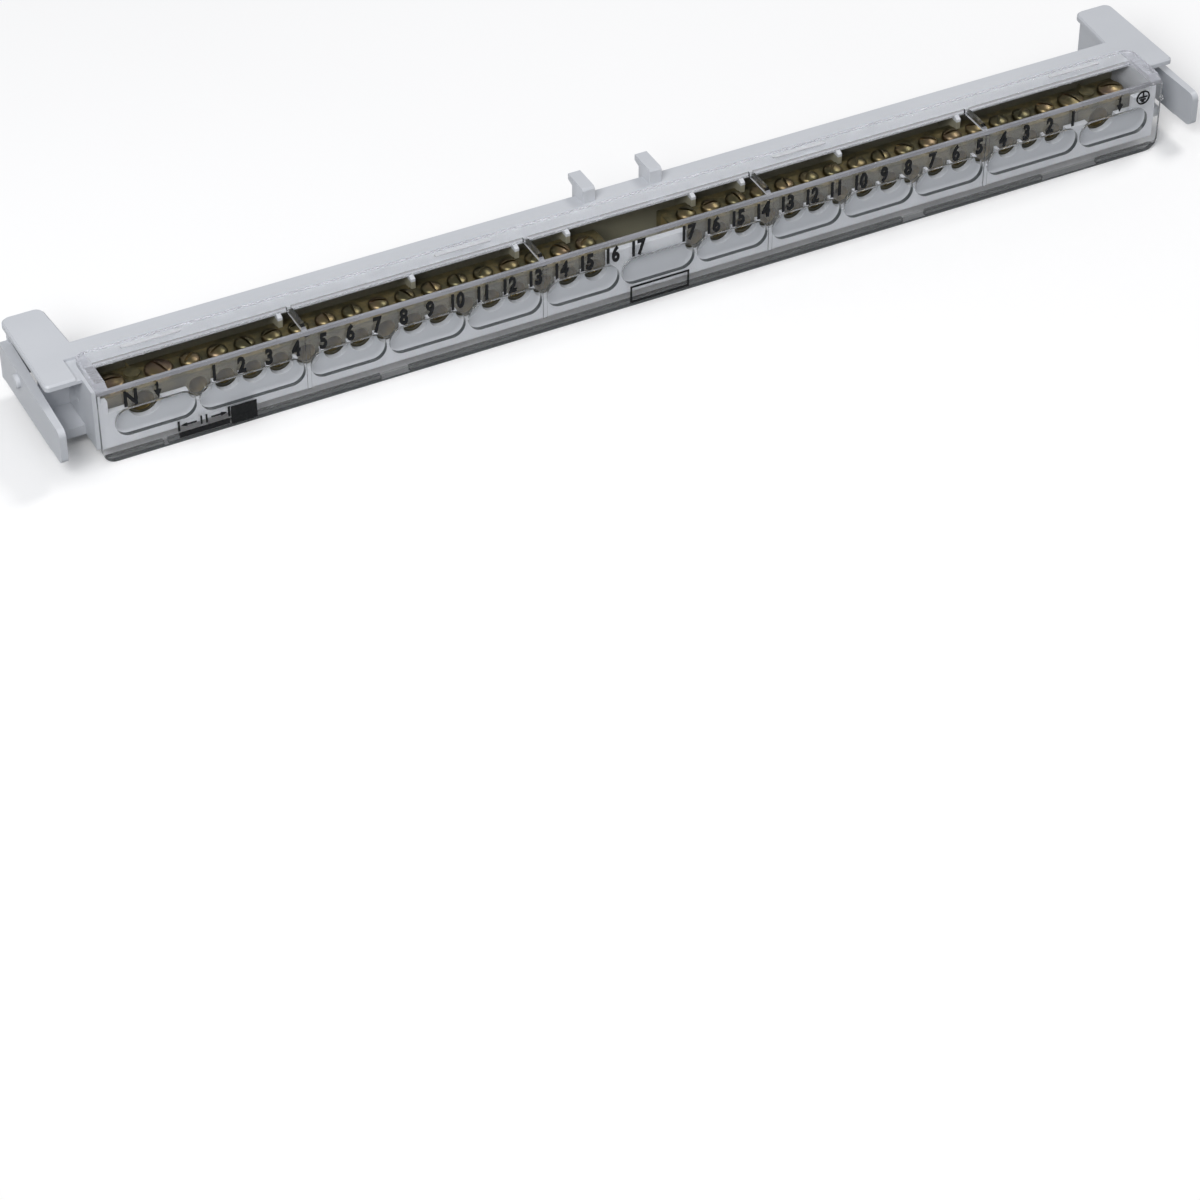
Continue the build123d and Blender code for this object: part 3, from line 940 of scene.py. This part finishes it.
# %% Letter, earth sign and arrows
SIGN_RADIUS = 1.75 * MM
LINE = 0.34 * MM
LETTER_PLACE = cover_middle - 119.6 * MM
LETTER_NARROW = 0.8
ARROW_PLACES = (cover_middle - 113.8 * MM, cover_middle + 115.4 * MM)
WING, STEM = 0.8 * MM, 0.2 * MM
SHOULDER_SHARE = 0.02
FLAG_LEFT, FLAG_RIGHT = 0.5 * MM, 0.17 * MM
FLAG_LOW, FLAG_HIGH = NUMERALS_UP + 1.2 * MM, NUMERALS_UP + 1.45 * MM
EARTH_PLACE = cover_middle + 121.5 * MM
UPRIGHT_FOOT = 0.1 * MM
EARTH_BARS = ((0.1, 1.1), (-0.5, 0.75), (-1.0, 0.35))


def down_arrow(across, up, length):
    """An arrow with a broad head, drawn as one outline from its tip round."""
    tip, shoulder, top = up - length / 2, up - length * SHOULDER_SHARE, up + length / 2
    return print_outline([
        (across, tip), (across + WING, shoulder), (across + STEM, shoulder), (across + STEM, top),
        (across - STEM, top), (across - STEM, shoulder), (across - WING, shoulder),
    ])


signs = [word("N", NUMERAL_HEIGHT, LETTER_PLACE, NUMERALS_UP, narrow=LETTER_NARROW)]
for place in ARROW_PLACES:
    signs.append(down_arrow(place, NUMERALS_UP, NUMERAL_HEIGHT))
    signs.append(print_bar(place - FLAG_LEFT, place + FLAG_RIGHT, FLAG_LOW, FLAG_HIGH))
signs.append(print_ring(EARTH_PLACE, NUMERALS_UP, SIGN_RADIUS, SIGN_RADIUS - LINE))
signs.append(print_bar(EARTH_PLACE - LINE / 2, EARTH_PLACE + LINE / 2, NUMERALS_UP + UPRIGHT_FOOT,
                       NUMERALS_UP + SIGN_RADIUS - LINE / 2))
for above, half in EARTH_BARS:
    signs.append(print_bar(EARTH_PLACE - half * MM, EARTH_PLACE + half * MM,
                           NUMERALS_UP + above * MM - LINE / 2, NUMERALS_UP + above * MM + LINE / 2))
joined("signs", signs)

# %% [markdown]
# Low on the left is the strip gauge: two ticks 11 millimetres apart with the number between two arrows, and
# a black bar of the same length under it, which ends at a black block. It shows how much insulation to take
# off.

# %% Strip gauge
GAUGE = 11.0 * MM
GAUGE_LEFT = cover_middle - 110.0 * MM
GAUGE_UP = cover_top - 14.5 * MM
TICK, TICK_REACH = 0.22 * MM, 1.2 * MM
ARROW_GAP, NUMBER_ROOM = 0.5 * MM, 1.6 * MM
NUMBER_HEIGHT, NUMBER_NARROW, NUMBER_HEAVIER = 2.0 * MM, 0.85, 0.01
HEAD_LENGTH, HEAD_WING, SHAFT = 1.3 * MM, 0.42 * MM, 0.13 * MM
UNDER_LOW, UNDER_HIGH = 2.9 * MM, 1.7 * MM
BLOCK_END, BLOCK_LOW, BLOCK_HIGH = 6.1 * MM, 3.3 * MM, 1.0 * MM


def side_arrow(tip, tail, up):
    """A slim arrow that lies along X, with its tip at tip."""
    way = 1 if tail > tip else -1
    head = tip + way * HEAD_LENGTH
    outline = [
        (tip, up), (head, up + HEAD_WING), (head, up + SHAFT), (tail, up + SHAFT),
        (tail, up - SHAFT), (head, up - SHAFT), (head, up - HEAD_WING),
    ]
    return print_outline(outline[::way])


gauge_right = GAUGE_LEFT + GAUGE
gauge_middle = (GAUGE_LEFT + gauge_right) / 2
ticks = [
    print_bar(place - TICK, place + TICK, GAUGE_UP - TICK_REACH, GAUGE_UP + TICK_REACH)
    for place in (GAUGE_LEFT, gauge_right)
]
gauge = ticks + [
    side_arrow(GAUGE_LEFT + ARROW_GAP, gauge_middle - NUMBER_ROOM, GAUGE_UP),
    side_arrow(gauge_right - ARROW_GAP, gauge_middle + NUMBER_ROOM, GAUGE_UP),
    word("11", NUMBER_HEIGHT, gauge_middle, GAUGE_UP, narrow=NUMBER_NARROW, heavier=NUMBER_HEAVIER),
    print_bar(GAUGE_LEFT, gauge_right, GAUGE_UP - UNDER_LOW, GAUGE_UP - UNDER_HIGH),
    print_bar(gauge_right + 2 * TICK, gauge_right + BLOCK_END, GAUGE_UP - BLOCK_LOW, GAUGE_UP + BLOCK_HIGH),
]
joined("strip_gauge", gauge)

# %% [markdown]
# A thin printed frame stands low in the middle. It is left bare. Its four bars meet without overlapping, so
# the joined mesh stays clean.

# %% Bare frame
FRAME_LEFT, FRAME_RIGHT = cover_middle - 6.8 * MM, cover_middle + 7.3 * MM
FRAME_LOW, FRAME_HIGH = cover_top - 17.7 * MM, cover_top - 13.5 * MM
FRAME_LINE = 0.38 * MM

frame_bars = [
    print_bar(FRAME_LEFT, FRAME_RIGHT, FRAME_LOW, FRAME_LOW + FRAME_LINE),
    print_bar(FRAME_LEFT, FRAME_RIGHT, FRAME_HIGH - FRAME_LINE, FRAME_HIGH),
    print_bar(FRAME_LEFT, FRAME_LEFT + FRAME_LINE, FRAME_LOW + FRAME_LINE, FRAME_HIGH - FRAME_LINE),
    print_bar(FRAME_RIGHT - FRAME_LINE, FRAME_RIGHT, FRAME_LOW + FRAME_LINE, FRAME_HIGH - FRAME_LINE),
]
joined("bare_frame", frame_bars)

# %% [markdown]
# The floor is a large plain sheet just under the object's lowest point. The camera sees it white, with the
# object's soft shadow on it, and away from the object it fades to plain white. Metal and clear plastic show
# that same white floor. Only the light that bounces from it is dim, as from a grey bench, so that the floor
# doesn't light the object from below.

# %% Floor
FADE_FROM, FADE_TO = 0.16, 0.30
FLOOR_HALF = 4.0
FLOOR_GAP = 0.05 * MM
WHITE, BENCH_GREY = (1.0, 1.0, 1.0, 1.0), (0.13, 0.145, 0.15, 1.0)


def floor_material():
    wiring = Wiring("pale_floor")
    mottle = wiring.noise(8.0, detail=2.0)
    tone = wiring.ramp(mottle, "Fac", [(0.3, (0.985, 0.985, 0.985)), (0.7, (0.995, 0.995, 0.995))])
    wiring.join(tone, "Color", wiring.shader, "Base Color")
    wiring.fixed(Roughness=0.9, Specular_IOR_Level=0.0)

    distance = wiring.add("ShaderNodeVectorMath", operation="LENGTH")
    wiring.join(wiring.place, "Object", distance, 0)
    fade = wiring.add("ShaderNodeMapRange", interpolation_type="SMOOTHSTEP")
    fade.inputs["From Min"].default_value = FADE_FROM
    fade.inputs["From Max"].default_value = FADE_TO
    wiring.join(distance, "Value", fade, "Value")
    plain = wiring.add("ShaderNodeEmission")
    plain.inputs["Color"].default_value = WHITE
    plain.inputs["Strength"].default_value = 1.0
    white = wiring.mixed(fade, "Result", wiring.shader, plain)

    bench = wiring.add("ShaderNodeBsdfDiffuse")
    bench.inputs["Color"].default_value = BENCH_GREY
    rays = wiring.add("ShaderNodeLightPath")
    seen_or_mirrored = wiring.add("ShaderNodeMath", operation="MAXIMUM")
    wiring.join(rays, "Is Camera Ray", seen_or_mirrored, 0)
    wiring.join(rays, "Is Glossy Ray", seen_or_mirrored, 1)
    shows_white = wiring.combine("MAXIMUM", seen_or_mirrored, rays, "Is Transmission Ray")
    both = wiring.mixed(shows_white, "Value", bench, white)
    wiring.join(both, "Shader", wiring.output, "Surface")
    return wiring.material


low_z = cad_box[0][2] - FLOOR_GAP
corners = [(-1, -1), (1, -1), (1, 1), (-1, 1)]
floor = mesh_object("floor", [(x * FLOOR_HALF, y * FLOOR_HALF, low_z) for x, y in corners], [(0, 1, 2, 3)])
floor.data.materials.append(floor_material())
print("floor at z =", round(low_z / MM, 2), "mm")

# %% [markdown]
# The light is a plain studio: a dim, even, cool world, one broad soft lamp over the camera's left shoulder,
# and a weaker one high on the right. The first models the mouldings with soft light and shade, and the
# second puts the glints on the screws.

# %% World and lamps
WORLD_COLOUR = (0.37, 0.375, 0.39, 1.0)
LEFT_PLACE, LEFT_SIZE, LEFT_WATTS = (-0.60, -0.57, 0.73), 0.55, 8.6
RIGHT_PLACE, RIGHT_SIZE, RIGHT_WATTS = (0.64, 0.15, 0.87), 0.30, 3.2
NEUTRAL, WARM = (1.0, 1.0, 1.0), (1.0, 0.985, 0.96)

world = bpy.data.worlds.new("studio")
bpy.context.scene.world = world
world.use_nodes = True
world.node_tree.nodes["Background"].inputs["Color"].default_value = WORLD_COLOUR
world.node_tree.nodes["Background"].inputs["Strength"].default_value = 1.0


def soft_lamp(name, place, size, power, colour):
    """A square lamp at place that looks at the origin, where the object is."""
    data = bpy.data.lights.new(name, "AREA")
    data.shape = "RECTANGLE"
    data.size, data.size_y = size, size
    data.energy = power
    data.color = colour
    lamp = new_object(name, data)
    lamp.location = place
    lamp.rotation_euler = (-Vector(place)).to_track_quat("-Z", "Y").to_euler()
    print(name, "is", round(Vector(place).length, 2), "m away")


soft_lamp("left_lamp", LEFT_PLACE, LEFT_SIZE, LEFT_WATTS, NEUTRAL)
soft_lamp("right_lamp", RIGHT_PLACE, RIGHT_SIZE, RIGHT_WATTS, WARM)

# %% [markdown]
# The camera was fitted to the photograph: it stands to the left of the front and looks down at 40 degrees
# through a long lens. Its place is given by the two angles and by where the object's origin lies from it:
# so far to the right, so far up and so far in front.

# %% Camera
AZIMUTH = math.radians(-27.177)
ELEVATION = math.radians(40.17)
LENS = 114.75
SENSOR = 36.0
NEAREST = 0.01
CENTRE_SHIFT = Vector((3.172, 88.819, 817.387)) * MM

back = Vector((
    math.sin(AZIMUTH) * math.cos(ELEVATION), -math.cos(AZIMUTH) * math.cos(ELEVATION), math.sin(ELEVATION),
))
right = Vector((math.cos(AZIMUTH), math.sin(AZIMUTH), 0.0))
up = back.cross(right)
lens_data = bpy.data.cameras.new("camera")
lens_data.lens = LENS
lens_data.sensor_width = SENSOR
lens_data.sensor_fit = "HORIZONTAL"
lens_data.clip_start = NEAREST
camera = new_object("camera", lens_data)
place = -CENTRE_SHIFT.x * right - CENTRE_SHIFT.y * up + CENTRE_SHIFT.z * back
turned = Matrix((right, up, back)).transposed().to_4x4()
camera.matrix_world = Matrix.Translation(place) @ turned
bpy.context.scene.camera = camera
bpy.context.scene.view_settings.view_transform = "Standard"
print("camera at", [round(value, 3) for value in place])
